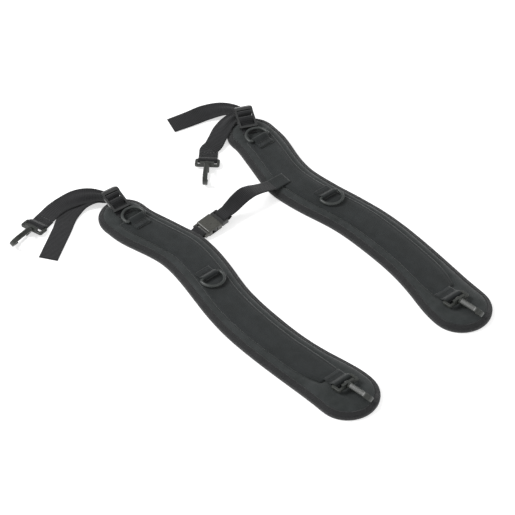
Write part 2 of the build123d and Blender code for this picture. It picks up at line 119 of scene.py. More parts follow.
# --- Materials ----------------------------------------------------------------------------
class Shader:
    """A node material that is put together one node at a time."""

    def __init__(self, name, roughness, sheen=0.0, specular=0.5, metallic=0.0, coat=0.0):
        self.material = bpy.data.materials.new(name)
        self.material.use_nodes = True
        self.tree = self.material.node_tree
        self.main = self.tree.nodes["Principled BSDF"]
        self.set("Roughness", roughness)
        self.set("Sheen Weight", sheen)
        self.set("Sheen Roughness", 0.5)
        self.set("Specular IOR Level", specular)
        self.set("Metallic", metallic)
        self.set("Coat Weight", coat)
        self.set("Coat Roughness", 0.3)

    def set(self, socket, value):
        self.main.inputs[socket].default_value = value

    def add(self, kind, options=None, **inputs):
        """A node whose inputs are numbers or other nodes' outputs; i0 is its first input."""
        node = self.tree.nodes.new("ShaderNode" + kind)
        for name, value in (options or {}).items():
            setattr(node, name, value)
        for name, value in inputs.items():
            numbered = name[0] == "i" and name[1:].isdigit()
            socket = node.inputs[int(name[1:]) if numbered else name]
            if isinstance(value, bpy.types.NodeSocket):
                self.tree.links.new(value, socket)
            else:
                socket.default_value = value
        return node.outputs

    def link(self, output, socket):
        self.tree.links.new(output, self.main.inputs[socket])

    def place(self, cloth):
        """Coordinates in metres: along and across a strip of cloth, or of the object itself."""
        if cloth:
            return self.add("Attribute", {"attribute_name": "cloth"})["Vector"]
        return self.add("TexCoord")["Object"]

    def noise(self, place, size, detail=3.0):
        """Soft noise whose blobs are about size millimetres across."""
        return self.add("TexNoise", Vector=place, Scale=1 / (size * MM), Detail=detail)["Fac"]

    def bands(self, place, pitch, direction="X"):
        """Ridges that repeat every pitch millimetres."""
        options = {"wave_type": "BANDS", "bands_direction": direction}
        return self.add("TexWave", options, Vector=place, Scale=math.tau / (20 * pitch * MM))["Fac"]

    def maths(self, operation, a, b):
        return self.add("Math", {"operation": operation}, i0=a, i1=b)["Value"]

    def mix(self, *shares):
        """The sum of values that are each given with their share, as (value, share)."""
        total = None
        for value, share in shares:
            part = self.maths("MULTIPLY", value, share)
            total = part if total is None else self.maths("ADD", total, part)
        return total

    def spread(self, value, low, high):
        """A value from 0 to 1 spread from low to high."""
        return self.add("MapRange", Value=value, i3=low, i4=high)["Result"]

    def colours(self, value, *stops):
        """A ramp with each stop as (place, colour)."""
        outputs = self.add("ValToRGB", Fac=value)
        ramp = outputs["Color"].node.color_ramp
        for i, (place, colour) in enumerate(stops):
            stop = ramp.elements[i] if i < 2 else ramp.elements.new(place)
            stop.position = place
            stop.color = (*colour, 1)
        self.link(outputs["Color"], "Base Color")

    def bump(self, layers):
        """Layers of (height output, strength, depth in millimetres), one over the other."""
        normal = None
        for height, strength, depth in layers:
            inputs = {"Height": height, "Strength": strength, "Distance": depth * MM}
            if normal:
                inputs["Normal"] = normal
            normal = self.add("Bump", **inputs)["Normal"]
        self.link(normal, "Normal")


# How the darker and the lighter threads of woven cloth lean away from its colour
DARK_TINT = (0.95, 1.04, 1)
LIGHT_TINT = (1.04, 1, 1.03)


def shade(colour, factor, tint=(1, 1, 1)):
    return tuple(c * factor * t for c, t in zip(colour, tint))


def woven(name, colour, pitch, contrast=0.3, sheen=0.25, roughness=0.85, ribs=0.0):
    """Plain-woven cloth; ribs adds ridges across its length."""
    s = Shader(name, roughness, sheen, 0.25)
    place = s.place(True)
    warp = s.bands(place, pitch, "X")
    weft = s.bands(place, pitch, "Y")
    weave = s.maths("MULTIPLY", s.maths("ADD", warp, weft), 0.5)
    mottle = s.noise(place, 30)
    patches = s.noise(place, 9, 2.0)
    slubs = s.noise(place, 1.6, 1.0)
    tone = s.mix((mottle, 0.45), (patches, 0.25), (weave, 0.12), (slubs, 0.18))
    dark = shade(colour, 1 - contrast, DARK_TINT)
    light = shade(colour, 1 + contrast, LIGHT_TINT)
    s.colours(tone, (0.32, dark), (0.68, light))
    s.link(s.spread(mottle, roughness - 0.12, roughness + 0.08), "Roughness")
    layers = [(weave, 0.5, 0.25), (slubs, 0.25, 0.3), (mottle, 0.25, 0.8)]
    if ribs:
        layers.append((s.bands(place, ribs, "X"), 0.7, 0.5))
    s.bump(layers)
    return s.material


def mesh_lining(name, colour):
    """Spacer mesh with small open cells, whose middles are painted dark as painted shade inside the
    holes.
    """
    s = Shader(name, 0.9, 0.15, 0.2)
    place = s.place(True)
    cells = s.add("TexVoronoi", {"feature": "F1"}, Vector=place, Scale=1 / (MESH_CELL * MM),
                  Randomness=0.15)["Distance"]
    # Painted shade: each cell's middle is darkened to about a third of the colour to stand for the
    # shade inside the open hole
    s.colours(cells, (0.15, shade(colour, 0.35)), (0.45, shade(colour, 1.2)))
    s.bump([(cells, 0.8, 0.7), (s.noise(place, 0.8), 0.2, 0.2)])
    return s.material


def moulded(name, colour, roughness, coat=0.0):
    """Moulded plastic with faint scuffs."""
    s = Shader(name, roughness, specular=0.5, coat=coat)
    place = s.place(False)
    scuffs = s.noise(place, 3.0, 6.0)
    grain = s.noise(place, 0.5, 2.0)
    clouds = s.noise(place, 14.0, 2.0)
    tone = s.mix((scuffs, 0.5), (clouds, 0.5))
    s.colours(tone, (0.3, shade(colour, 0.8)), (0.75, shade(colour, 1.3)))
    s.link(s.spread(scuffs, roughness - 0.1, roughness + 0.14), "Roughness")
    s.bump([(grain, 0.12, 0.08), (scuffs, 0.08, 0.15)])
    return s.material


def steel(name):
    """Turned steel, for the gate pins."""
    s = Shader(name, 0.35, metallic=1.0)
    place = s.place(False)
    turned = s.noise(place, 0.4, 4.0)
    s.colours(turned, (0.3, (0.32, 0.32, 0.33)), (0.7, (0.5, 0.5, 0.51)))
    s.bump([(turned, 0.15, 0.05)])
    return s.material


def thread_material(name, colour):
    """Twisted sewing thread."""
    s = Shader(name, 0.6, 0.2, 0.4)
    place = s.place(False)
    twist = s.noise(place, 0.35, 2.0)
    s.colours(twist, (0.3, shade(colour, 0.6)), (0.7, shade(colour, 1.4)))
    s.bump([(twist, 0.4, 0.1)])
    return s.material


def make_materials():
    """Every material, by what it is for."""
    return {
        "cover": woven("cover_cloth", (0.0265, 0.031, 0.0305), 0.9, 0.5),
        "strip": woven("strip_cloth", (0.0155, 0.0188, 0.019), 0.9, 0.5),
        "binding": woven("binding_tape", (0.0165, 0.017, 0.0178), 0.7, 0.4, 0.2, 0.75, ribs=1.5),
        "webbing": woven("webbing_cloth", (0.0145, 0.0148, 0.016), 1.1, 0.4, 0.18, 0.75, ribs=2.2),
        "lining": mesh_lining("mesh_lining", (0.04, 0.042, 0.045)),
        "thread": thread_material("thread", (0.008, 0.0088, 0.009)),
        "ring": moulded("ring_plastic", (0.04, 0.045, 0.043), 0.38),
        "hook": moulded("hook_plastic", (0.032, 0.035, 0.031), 0.34),
        "lock": moulded("lock_plastic", (0.02, 0.021, 0.021), 0.16, 0.7),
        "buckle": moulded("buckle_plastic", (0.058, 0.058, 0.05), 0.28, 0.25),
        "plug": moulded("plug_plastic", (0.024, 0.025, 0.025), 0.32, 0.2),
        "steel": steel("pin_steel"),
    }


# --- Meshes -------------------------------------------------------------------------------
def mesh_piece(name, points, faces, materials, cloth=None, indices=None):
    """An object from points in metres; cloth holds each point's place along and across."""
    mesh = bpy.data.meshes.new(name)
    mesh.from_pydata([tuple(p) for p in points], [], faces)
    mesh.validate()
    for material in materials:
        mesh.materials.append(material)
    if indices is not None:
        mesh.polygons.foreach_set("material_index", indices)
    mesh.shade_smooth()
    if cloth is not None:
        flat = np.zeros((len(points), 3), np.float32)
        flat[:, : cloth.shape[1]] = cloth
        places = mesh.attributes.new("cloth", "FLOAT_VECTOR", "POINT")
        places.data.foreach_set("vector", flat.ravel())
    piece = bpy.data.objects.new(name, mesh)
    bpy.context.scene.collection.objects.link(piece)
    return piece


def place(joint, pitch=0):
    """The frame at a joint, in metres: X along its level axis, Z up, then tipped up by pitch."""
    x = Vector(JOINTS[joint]["axis"]).normalized()
    z = Vector((0, 0, 1))
    y = z.cross(x)
    turn = Matrix((x, y, z)).transposed().to_4x4()
    tip = Matrix.Rotation(math.radians(pitch), 4, "X")
    return Matrix.Translation(JOINTS[joint]["pos_m"]) @ turn @ tip


def put(matrix, x, y, z):
    """A point given in millimetres in a frame, in metres in the shared frame."""
    return matrix @ (Vector((x, y, z)) * MM)


def harness(x, y, z):
    """A point given in millimetres from midway between the pads, in metres."""
    return (ORIGIN + Vector((x, y, z))) * MM


def laid(rows):
    """Rows for a ribbon from rows that start with a point from midway between the pads."""
    return [(*harness(*row[:3]), *row[3:]) for row in rows]


def arc(matrix, radius, angles, bar_y=0):
    """Points round a bar that lies across a frame; radius in millimetres, angles in degrees."""
    turns = [math.radians(degrees) for degrees in angles]
    return [put(matrix, 0, bar_y + radius * math.cos(a), radius * math.sin(a)) for a in turns]


def running(points):
    """The distance along a line of points, from its first one."""
    return np.concatenate([[0], np.cumsum(np.linalg.norm(np.diff(points, axis=0), axis=1))])


def spline(rows, step):
    """Rows of values whose first three are a point, spaced out evenly along a smooth curve."""
    rows = np.array(rows, float)
    gaps = np.maximum(np.linalg.norm(np.diff(rows[:, :3], axis=0), axis=1), 1e-7)
    t = np.concatenate([[0], np.cumsum(gaps)])
    slopes = np.diff(rows, axis=0) / gaps[:, None]
    tangents = np.vstack([slopes[:1], slopes[1:] * 0, slopes[-1:]])
    for i in range(1, len(rows) - 1):
        a, b = gaps[i - 1], gaps[i]
        tangents[i] = (slopes[i - 1] * b + slopes[i] * a) / (a + b)
    out = []
    for i, gap in enumerate(gaps):
        count = max(4, int(gap / (step * 0.4)))
        for u in np.arange(count) / count:
            near = (2 * u**3 - 3 * u**2 + 1) * rows[i] + (u**3 - 2 * u**2 + u) * gap * tangents[i]
            far = (3 * u**2 - 2 * u**3) * rows[i + 1] + (u**3 - u**2) * gap * tangents[i + 1]
            out.append(near + far)
    out.append(rows[-1])
    out = np.array(out)
    run = running(out[:, :3])
    even = np.linspace(0, run[-1], max(3, int(run[-1] / step) + 1))
    line = np.column_stack([np.interp(even, run, out[:, k]) for k in range(out.shape[1])])
    return line, even


COLUMNS = 14  # quads across a ribbon
BULGE = 0.22  # how far a ribbon's rounded edge stands out past its width (mm)


def ribbon(name, rows, material, across=None, step=1.8, folds=1.5):
    """A strip of webbing along rows of (x, y, z, width, roll, gather).

    The point is in metres, roll in degrees, and width and gather in millimetres. gather is the
    height of the lengthwise folds where the strip is squeezed together."""
    rows = [tuple(row) + (0.0,) * (6 - len(row)) for row in rows]
    line, along = spline(rows, step * MM)
    tangents = np.gradient(line[:, :3], axis=0)
    points, cloth = [], []
    v = np.linspace(-0.5, 0.5, COLUMNS + 1)
    thinning = 1 - 0.45 * np.clip((np.abs(v) - 0.44) / 0.06, 0, 1)
    for row, tangent, run in zip(line, tangents, along):
        centre, width, roll, gather = Vector(row[:3]), row[3], math.radians(row[4]), row[5]
        ahead = Vector(tangent).normalized()
        level = Vector((-ahead.y, ahead.x, 0)).normalized()
        side = Vector(across) if across is not None else level
        side = Matrix.Rotation(roll, 3, ahead) @ side
        up = ahead.cross(side).normalized()
        if across is None and up.z < 0:
            up = -up
        lift = gather * np.cos(math.tau * folds * v)
        for sign, order in ((1, range(COLUMNS + 1)), (-1, range(COLUMNS, -1, -1))):
            for k in order:
                height = lift[k] + sign * WEB / 2 * thinning[k]
                points.append(centre + side * (v[k] * width * MM) + up * (height * MM))
                cloth.append((run, v[k] * width * MM))
            points.append(centre + side * ((sign * 0.5 * width + sign * BULGE) * MM)
                          + up * (lift[order[-1]] * MM))
            cloth.append((run, sign * 0.5 * width * MM))
    ring = 2 * COLUMNS + 4
    faces = []
    for i in range(len(line) - 1):
        for k in range(ring):
            a, b = i * ring + k, i * ring + (k + 1) % ring
            faces.append((a, b, b + ring, a + ring))
    last = (len(line) - 1) * ring
    faces.append(tuple(range(ring))[::-1])
    faces.append(tuple(range(last, last + ring)))
    piece = mesh_piece(name, points, faces, [material], np.array(cloth))
    fix_normals(piece)
    return piece


def fix_normals(piece):
    """Turns a closed mesh's faces outwards."""
    mesh = piece.data
    volume = 0.0
    for face in mesh.polygons:
        volume += float(np.array(face.normal) @ np.array(face.center)) * face.area
    if volume < 0:
        mesh.flip_normals()


class Stitching:
    """Rows of stitches that are made as one piece."""

    SIDES = 6
    # Cross-sections of a stitch: share of its length, then size and height in thread radii
    SHAPE = ((0, 0.35, -0.9), (0.18, 1, 0.55), (0.5, 1.08, 0.8), (0.82, 1, 0.55), (1, 0.35, -0.9))
    TACK_DEPTH = 1.6
    TACK_PITCH = 0.8

    def __init__(self):
        self.points = []
        self.faces = []

    def stitch(self, a, b, up):
        """One stitch from a to b, in metres: a short thread that dives in at both ends."""
        a, b, up = Vector(a), Vector(b), Vector(up).normalized()
        side = (b - a).cross(up).normalized() * THREAD_R * MM
        lift = up * THREAD_R * MM
        start = len(self.points)
        for share, size, height in self.SHAPE:
            centre = a.lerp(b, share) + lift * height
            for k in range(self.SIDES):
                angle = math.tau * k / self.SIDES
                self.points.append(centre + side * size * math.cos(angle)
                                   + lift * size * math.sin(angle))
        last = len(self.points) - self.SIDES
        for base in range(start, last, self.SIDES):
            for k in range(self.SIDES):
                p, q = base + k, base + (k + 1) % self.SIDES
                self.faces.append((p, q, q + self.SIDES, p + self.SIDES))
        self.faces.append(tuple(range(start, start + self.SIDES))[::-1])
        self.faces.append(tuple(range(last, last + self.SIDES)))

    def row(self, points, up=(0, 0, 1), closed=False):
        """Stitches along a line of points in metres."""
        line = np.array([tuple(p) for p in points], float)
        if closed:
            line = np.vstack([line, line[:1]])
        run = running(line)
        count = max(1, int(run[-1] / ((STITCH + STITCH_GAP) * MM)))
        pitch = run[-1] / count
        for i in range(count):
            ends = (i * pitch, i * pitch + pitch * STITCH / (STITCH + STITCH_GAP))
            a, b = (Vector([np.interp(e, run, line[:, k]) for k in range(3)]) for e in ends)
            self.stitch(a, b, up)

    def box(self, matrix, x0, x1, y0, y1, z, cross=True):
        """A sewn rectangle in a frame, with a cross in it; sizes in millimetres."""
        corners = [(x0, y0), (x1, y0), (x1, y1), (x0, y1)]
        up = matrix.to_3x3() @ Vector((0, 0, 1))
        pairs = list(zip(corners, corners[1:] + corners[:1]))
        if cross:
            pairs += [(corners[0], corners[2]), (corners[1], corners[3])]
        for a, b in pairs:
            self.row([put(matrix, *a, z), put(matrix, *b, z)], up)

    def bar_tack(self, matrix, x0, x1, y, z):
        """A dense zigzag across the webbing."""
        up = matrix.to_3x3() @ Vector((0, 0, 1))
        count = int((x1 - x0) / self.TACK_PITCH)
        xs = np.linspace(x0, x1, count + 1)
        for i in range(count):
            swing = self.TACK_DEPTH / 2 if i % 2 else -self.TACK_DEPTH / 2
            self.stitch(put(matrix, xs[i], y - swing, z), put(matrix, xs[i + 1], y + swing, z), up)

    def piece(self, name):
        return mesh_piece(name, self.points, self.faces, [MATERIALS["thread"]])


# --- Pads ---------------------------------------------------------------------------------
def base_ring(node):
    """The outer edge of a CAD node's flat underside, as points in order (metres)."""
    mesh = NODES[node].data
    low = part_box(node)[0].z
    count = {}

    def key(i):
        return tuple(round(c * 1e6) for c in mesh.vertices[i].co)

    for face in mesh.polygons:
        if face.normal.z < -0.99 and face.center.z < low + 0.02 * MM:
            for a, b in face.edge_keys:
                edge = frozenset((key(a), key(b)))
                count[edge] = count.get(edge, 0) + 1
    near = {}
    for edge in (e for e, n in count.items() if n == 1 and len(e) == 2):
        a, b = edge
        near.setdefault(a, []).append(b)
        near.setdefault(b, []).append(a)
    best = []
    while near:
        start = sorted(near)[0]
        loop, at = [start], start
        while at in near:
            ahead = [p for p in near.pop(at) if p in near]
            if not ahead:
                break
            at = ahead[0]
            loop.append(at)
        if len(loop) > 2 and spread(loop) > spread(best):
            best = loop
    return np.array(best, float)[:, :2] * 1e-6


def spread(loop):
    """The area of the box round a loop of points."""
    if not len(loop):
        return 0
    span = np.ptp(np.array(loop, float), axis=0)
    return span[0] * span[1]


def crossings(ring, y):
    """The lowest and highest x at which a closed ring crosses a level y."""
    a, b = ring, np.roll(ring, -1, axis=0)
    hit = (a[:, 1] - y) * (b[:, 1] - y) < 0
    share = (y - a[hit, 1]) / (b[hit, 1] - a[hit, 1])
    xs = a[hit, 0] + share * (b[hit, 0] - a[hit, 0])
    return xs.min(), xs.max()


def reach(ring, start, direction):
    """How far it is from start to the ring along a direction."""
    a = ring - start
    b = np.roll(ring, -1, axis=0) - start
    side = np.array([-direction[1], direction[0]])
    sa, sb = a @ side, b @ side
    hit = sa * sb <= 0
    share = sa[hit] / (sa[hit] - sb[hit] + 1e-12)
    ahead = (a[hit] + share[:, None] * (b[hit] - a[hit])) @ direction
    return ahead[ahead > 0].max()


class PadShape:
    """A pad's plan: ribs that run from its middle line out to its rim, all the way round."""

    STATIONS = 190  # along the middle line
    FAN = 26  # steps round each end
    END_REACH = 37  # from a pad's end to the middle line's end (mm)

    def __init__(self, node):
        ring = base_ring(node)
        low, high = ring[:, 1].min(), ring[:, 1].max()
        ends = self.END_REACH * MM
        levels = np.linspace(low + ends, high - ends, self.STATIONS)
        middle = np.array([[np.mean(crossings(ring, y)), y] for y in levels])
        middle[:, 0] = smooth(middle[:, 0], 5)
        self.middle = middle
        ahead = np.gradient(middle, axis=0)
        ahead /= np.linalg.norm(ahead, axis=1)[:, None]
        right = np.column_stack([ahead[:, 1], -ahead[:, 0]])
        ribs = [(i, right[i]) for i in range(self.STATIONS)]
        ribs += self.fan(self.STATIONS - 1, right[-1])
        ribs += [(i, -right[i]) for i in reversed(range(self.STATIONS))]
        ribs += self.fan(0, -right[0])
        self.station = [i for i, _ in ribs]
        self.centre = middle[self.station]
        self.out = np.array([d for _, d in ribs])
        self.half = np.array([reach(ring, c, d) for c, d in zip(self.centre, self.out)])
        self.half = smooth(self.half, 2, closed=True)
        self.run = running(self.at(0))

    def fan(self, station, start):
        """Ribs that turn anticlockwise through half a circle round one end of the middle line."""
        angles = math.pi * np.arange(1, self.FAN) / self.FAN
        turns = [np.array([[math.cos(a), -math.sin(a)], [math.sin(a), math.cos(a)]])
                 for a in angles]
        return [(station, turn @ start) for turn in turns]

    def at(self, inset):
        """Points all round the pad, that far in from its rim (metres)."""
        return self.centre + self.out * np.maximum(self.half - inset, 0)[:, None]


def smooth(values, width, closed=False):
    """A running mean over width values to either side; closed values run round and round."""
    kernel = np.ones(2 * width + 1) / (2 * width + 1)
    before = values[-width:] if closed else [values[0]] * width
    after = values[:width] if closed else [values[-1]] * width
    return np.convolve(np.concatenate([before, values, after]), kernel, "valid")


def ease(t):
    """A smooth step from 0 to 1 as t goes from 0 to 1."""
    t = np.clip(t, 0, 1)
    return t * t * (3 - 2 * t)


def ring_distance(points, ring):
    """Distance from each point to the nearest point of a closed ring's edges."""
    a, b = ring, np.roll(ring, -1, axis=0)
    span = b - a
    length = np.maximum((span**2).sum(1), 1e-14)
    best = np.full(len(points), 1e9)
    for i in range(len(a)):
        t = np.clip(((points - a[i]) @ span[i]) / length[i], 0, 1)
        away = np.linalg.norm(points - a[i] - t[:, None] * span[i], axis=1)
        best = np.minimum(best, away)
    return best


def cushion_height(inset):
    """Height of the cushion's top before it is stuffed, by distance in from the rim (mm)."""
    inset = np.asarray(inset, float)
    shoulder, shoulder_inset, rise = 7.6, 6.2, 8.5
    under_tape = 5.4 + 0.33 * inset
    share = np.sqrt(np.clip((inset - shoulder_inset) / rise, 0, 1))
    body = shoulder + (CUSHION_TOP - shoulder) * share
    return np.where(inset < 6.4, under_tape, body)


# How far in from the rim a cushion's rings of points lie, and their heights underneath (mm)
INSETS = (1.4, 3.2, 5.0, 6.2, 7.2, 8.4, 9.8, 11.6, 13.6, 15.8, 18.2, 20.8, 23.6, 26.6, 29.8)
LINING_LOW = 0.05
LINING_LOW_IN_TAPE = 0.4
HELD_BY_TAPE = 6.8
HELD_BY_SEAM = 1.7
DEEPEST = 0.9  # the share of the pad's half width that those rings may reach
INNERMOST = 0.93  # the share that the last ring reaches
STUFFING_CAP = 4.5


def make_cushion(side, shape, strip_ring):
    """The stuffed pad: a woven top, a mesh underside, held at its rim and at the strip's seam."""
    depths = [np.minimum(inset * MM, shape.half * DEEPEST) for inset in INSETS]
    depths.append(shape.half * INNERMOST)
    plan = [shape.centre + shape.out * (shape.half - depth)[:, None] for depth in depths]
    tops = [cushion_height(depth / MM) for depth in depths]
    count = len(shape.half)
    in_tape = [inset < BINDING_WIDTH for inset in INSETS] + [False]
    lows = [np.full(count, LINING_LOW_IN_TAPE if taped else LINING_LOW) for taped in in_tape]
    rows = len(plan)
    plan.append(shape.middle)
    tops.append(np.full(len(shape.middle), CUSHION_TOP))
    lows.append(np.full(len(shape.middle), LINING_LOW))
    flat = np.vstack(plan)
    top = np.concatenate(tops)
    low = np.concatenate(lows)
    inside = ring_inside(strip_ring, flat)
    seam = ring_distance(flat, strip_ring)
    top = top - 1.3 * np.exp(-((seam / MM - 0.5) / 1.8) ** 2)
    upper = np.column_stack([flat, top * MM])
    lower = np.column_stack([flat, low * MM])
    points = np.vstack([upper, lower])
    total = len(flat)

    def grid(offset, turn):
        """Faces of the upper or the lower side, whose points start at offset."""
        made = []
        for k in range(rows - 1):
            for i in range(count):
                j = (i + 1) % count
                quad = (offset + k * count + i, offset + k * count + j,
                        offset + (k + 1) * count + j, offset + (k + 1) * count + i)
                made.append(quad if turn else quad[::-1])
        inner = offset + (rows - 1) * count
        core = offset + rows * count
        for i in range(count):
            j = (i + 1) % count
            a, b = core + shape.station[i], core + shape.station[j]
            face = (inner + i, inner + j, b) if a == b else (inner + i, inner + j, b, a)
            made.append(face if turn else face[::-1])
        return made

    faces = grid(0, True)
    top_faces = len(faces)
    faces += grid(total, False)
    for i in range(count):
        j = (i + 1) % count
        faces.append((j, i, total + i, total + j))
    indices = [0] * top_faces + [1] * (len(faces) - top_faces)
    cloth = np.vstack([flat, flat])
    piece = mesh_piece(f"{side}_pad_cushion", points, faces,
                       [MATERIALS["cover"], MATERIALS["lining"]], cloth, indices)
    inset_all = np.concatenate(depths + [np.full(len(shape.middle), 1.0)])
    held = (inset_all < HELD_BY_TAPE * MM) | (seam < HELD_BY_SEAM * MM) | inside
    pinned = [i for i in range(total) if held[i]] + list(range(total, 2 * total))
    stuff(piece, pinned, STUFFING_CAP * MM)
    wrinkle(piece, total, held, side)
    press(piece, total, side)
    return piece


def ring_inside(ring, points):
    """Which points lie inside a closed ring."""
    x, y = points[:, 0], points[:, 1]
    a, b = ring, np.roll(ring, -1, axis=0)
    inside = np.zeros(len(points), bool)
    for p, q in zip(a, b):
        if p[1] == q[1]:
            continue
        crosses = (p[1] > y) != (q[1] > y)
        at = p[0] + (y - p[1]) / (q[1] - p[1]) * (q[0] - p[0])
        inside ^= crosses & (x < at)
    return inside


STUFFING_FRAMES = 20


def stuff(piece, pinned, cap):
    """Swells a closed piece like stuffed cloth; pinned points stay, and none moves past cap."""
    scene = bpy.context.scene
    rest = np.array([v.co for v in piece.data.vertices])
    group = piece.vertex_groups.new(name="held")
    group.add([int(i) for i in pinned], 1.0, "REPLACE")
    cloth = piece.modifiers.new("stuffing", "CLOTH")
    settings = cloth.settings
    settings.quality = 5
    settings.mass = 0.15
    settings.use_pressure = True
    settings.uniform_pressure_force = 4
    settings.vertex_group_mass = "held"
    settings.effector_weights.gravity = 0
    settings.tension_stiffness = 12
    settings.compression_stiffness = 12
    settings.shear_stiffness = 4
    settings.bending_stiffness = 0.4
    cloth.point_cache.frame_start = 1
    cloth.point_cache.frame_end = STUFFING_FRAMES
    for step in range(STUFFING_FRAMES):
        scene.frame_set(step + 1)
    evaluated = piece.evaluated_get(bpy.context.evaluated_depsgraph_get())
    moved = np.array([v.co for v in evaluated.data.vertices]) - rest
    length = np.maximum(np.linalg.norm(moved, axis=1), 1e-9)
    moved *= np.minimum(1, cap / length)[:, None]
    piece.modifiers.remove(cloth)
    piece.vertex_groups.remove(group)
    scene.frame_set(1)
    piece.data.vertices.foreach_set("co", (rest + moved).astype(np.float32).ravel())
    piece.data.update()


# Unevenness of the cushions: size along X and Y in metres, seed, and height in millimetres
WRINKLES = ((0.055, 0.075, 0, 0.7), (0.028, 0.034, 3, 0.45), (0.016, 0.011, 7, 0.24))


def wrinkle(piece, total, held, side):
    """Soft unevenness over the free parts of a cushion's top."""
    shift = 40 if side == "left" else 90
    for i in range(total):
        if held[i]:
            continue
        vertex = piece.data.vertices[i]
        x, y, _ = vertex.co
        vertex.co.z += MM * sum(height * noise.noise(Vector((x / wide, y / long, shift + seed)))
                                for wide, long, seed, height in WRINKLES)


def press(piece, total, side):
    """Presses a cushion's top down under its snap hook, so that the hook swivels clear of it."""
    to_hook = place(f"{side}_lower_hook_tip").inverted()
    behind, reach_ahead, reach_across = -10, 62, 22
    slope = 0.3
    for vertex in list(piece.data.vertices)[:total]:
        across, ahead, _ = (to_hook @ vertex.co) / MM
        if behind < ahead < reach_ahead and abs(across) < reach_across:
            limit = PAD_TOP - 0.4 + slope * max(0, abs(across) - 10) + slope * max(0, -ahead - 4)
            vertex.co.z = min(vertex.co.z, limit * MM)


TAPE_EDGE = 6.35  # height of the binding's top at the rim (mm)
TAPE_SLOPE = 0.36


def tape_top(inset, run):
    """Height of the binding's top by distance in from the rim and along it (mm)."""
    pucker = 0.16 * math.sin(run / 3.1) + 0.28 * noise.noise(Vector((run / 17, 3, 1)))
    share = min(1, max(0, inset / BINDING_WIDTH))
    return TAPE_EDGE + TAPE_SLOPE * inset + pucker * share


def make_binding(side, shape):
    """The tape that wraps the pad's rim."""
    top_insets = (BINDING_WIDTH, 5.6, 3.8, 2.2, 1.0)
    weave_step = 1.4
    points, cloth = [], []
    count = len(shape.half)
    for i in range(count):
        run = shape.run[i] / MM
        wave = 0.3 * noise.noise(Vector((run / 23, 9, 4)))
        # Each section goes over the rim, back underneath, and round again inside the tape
        section = [(inset + wave, tape_top(inset, run)) for inset in top_insets]
        section += [(0.25, 5.35), (-0.1, 4.3), (-0.12, 3.0), (0.05, 1.7), (0.5, 0.75)]
        section += [(1.4, RIM_LOW), (4.2, RIM_LOW), (7.1 + wave, RIM_LOW + 0.05)]
        section += [(7.15 + wave, 0.95), (4.2, 1.15), (1.9, 1.4)]
        section += [(1.1, 2.4), (1.0, 4.2), (1.6, 5.3)]
        section += [(4.4, tape_top(4.4, run) - 0.8), (7.2 + wave, tape_top(7.2, run) - 0.72)]
        for k, (inset, z) in enumerate(section):
            flat = shape.centre[i] + shape.out[i] * (shape.half[i] - inset * MM)
            points.append((flat[0], flat[1], z * MM))
            cloth.append((shape.run[i], k * weave_step * MM))
    ring = len(points) // count
    faces = []
    for i in range(count):
        j = (i + 1) % count
        for k in range(ring):
            m = (k + 1) % ring
            faces.append((i * ring + k, i * ring + m, j * ring + m, j * ring + k))
    piece = mesh_piece(f"{side}_pad_binding", points, faces, [MATERIALS["binding"]],
                       np.array(cloth))
    fix_normals(piece)
    return piece


def make_strip(side, ring):
    """The raised strip along the pad, with its edges folded under and sewn down."""
    low, high = ring[:, 1].min() + 0.5 * MM, ring[:, 1].max() - 0.5 * MM
    stations, columns = 190, 22
    edge_top, crown = 12.75, 0.72
    levels = np.linspace(low, high, stations)
    sides = np.array([crossings(ring, y) for y in levels])
    u = np.linspace(-1, 1, columns + 1)
    points, cloth = [], []
    for i, y in enumerate(levels):
        left, right = sides[i]
        half = (right - left) / 2
        near_end = min(y - low, high - y) / MM
        end_fall = 0.9 * (1 - ease(near_end / 2.4))
        end_seam = 0.45 * math.exp(-((near_end - 3.2) / 0.9) ** 2)
        for k in range(columns + 1):
            from_edge = (1 - abs(u[k])) * half / MM
            x = (left + right) / 2 + u[k] * half
            top = edge_top + crown * ease(from_edge / 11)
            top -= 0.5 * math.exp(-((from_edge - STRIP_SEAM) / 0.9) ** 2)
            top -= 1.2 * (1 - ease(from_edge / 1.2))
            top += 0.3 * noise.noise(Vector((x / 0.03, y / 0.045, 5))) * ease(from_edge / 6)
            points.append((x, y, (top - end_fall - end_seam) * MM))
            cloth.append((y, x))
        for k in (columns, 0):
            x = (left + right) / 2 + u[k] * half
            points.append((x, y, (PAD_TOP - 1.9) * MM))
            cloth.append((y, x))
    ring_size = columns + 3
    faces = []
    for i in range(len(levels) - 1):
        for k in range(ring_size):
            a, b = i * ring_size + k, i * ring_size + (k + 1) % ring_size
            faces.append((a, b, b + ring_size, a + ring_size))
    last = (len(levels) - 1) * ring_size
    faces.append(tuple(range(ring_size))[::-1])
    faces.append(tuple(range(last, last + ring_size)))
    piece = mesh_piece(f"{side}_pad_strip", points, faces, [MATERIALS["strip"]],
                       np.array(cloth))
    fix_normals(piece)
    return piece, levels, sides


